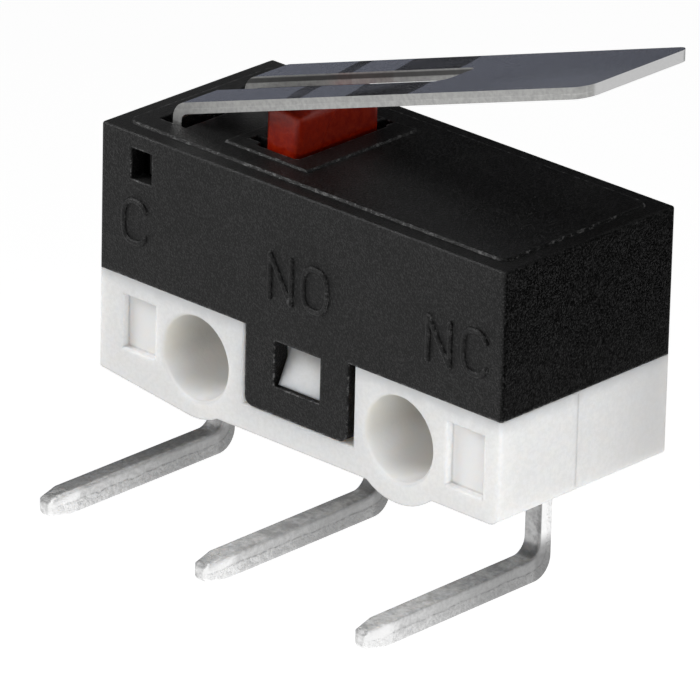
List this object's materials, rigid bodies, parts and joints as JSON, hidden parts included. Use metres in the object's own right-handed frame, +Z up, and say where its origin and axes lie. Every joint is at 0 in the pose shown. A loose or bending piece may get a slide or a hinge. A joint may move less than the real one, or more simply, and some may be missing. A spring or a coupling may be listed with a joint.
{
  "type": "snap-action micro switch",
  "caption": "Subminiature snap-action switch with a slotted hinge lever, a sliding plunger, crosswise mounting holes and right-angle solder terminals",
  "frame": {"origin": "midway between the two mounting holes, on their axis height, in the middle of the body's depth", "axes": "+X along the body towards the free end of the lever, +Y along the mounting holes from the marked front to the back, +Z up from the terminals to the lever"},
  "size_m": [0.0141, 0.0089, 0.0134],
  "materials": {
    "base": "satin white moulded plastic",
    "cover": "fine-grained black moulded plastic",
    "lever": "rolled stainless strip",
    "plunger": "satin red-brown moulded plastic",
    "terminals": "dull plated strip",
    "blade": "spring copper alloy strip",
    "contacts": "silver alloy"
  },
  "bodies": {
    "case": {"base": "base", "cover": "cover", "common_terminal": "terminals", "normally_open_terminal": "terminals", "normally_closed_terminal": "terminals", "normally_open_contact": "contacts", "normally_closed_contact": "contacts"},
    "lever_body": {"lever": "lever"},
    "plunger_body": {"plunger": "plunger"},
    "blade_body": {"snap_blade": "blade", "moving_contact": "contacts"}
  },
  "joints": [
    {"name": "lever_hinge", "type": "hinge", "parent": "case", "child": "lever_body", "pos_m": [-0.005, 0, 0.00432], "axis": [0, 1, 0], "range_deg": [0, 13], "stiffness_Nm_per_rad": 0.008, "springref_deg": -5.73},
    {"name": "plunger_slide", "type": "slide", "parent": "case", "child": "plunger_body", "axis": [0, 0, -1], "range_m": [0, 0.000703]},
    {"name": "blade_swing", "type": "hinge", "parent": "case", "child": "blade_body", "pos_m": [-0.00463, 0, 0.00327], "axis": [0, 1, 0], "range_deg": [0, 3.4]}
  ],
  "couplings": [
    {"joint": "plunger_slide", "follows": "lever_hinge", "m_per_rad": 0.0031},
    {"joint": "blade_swing", "follows": "lever_hinge", "ratio": 0.2594}
  ]
}
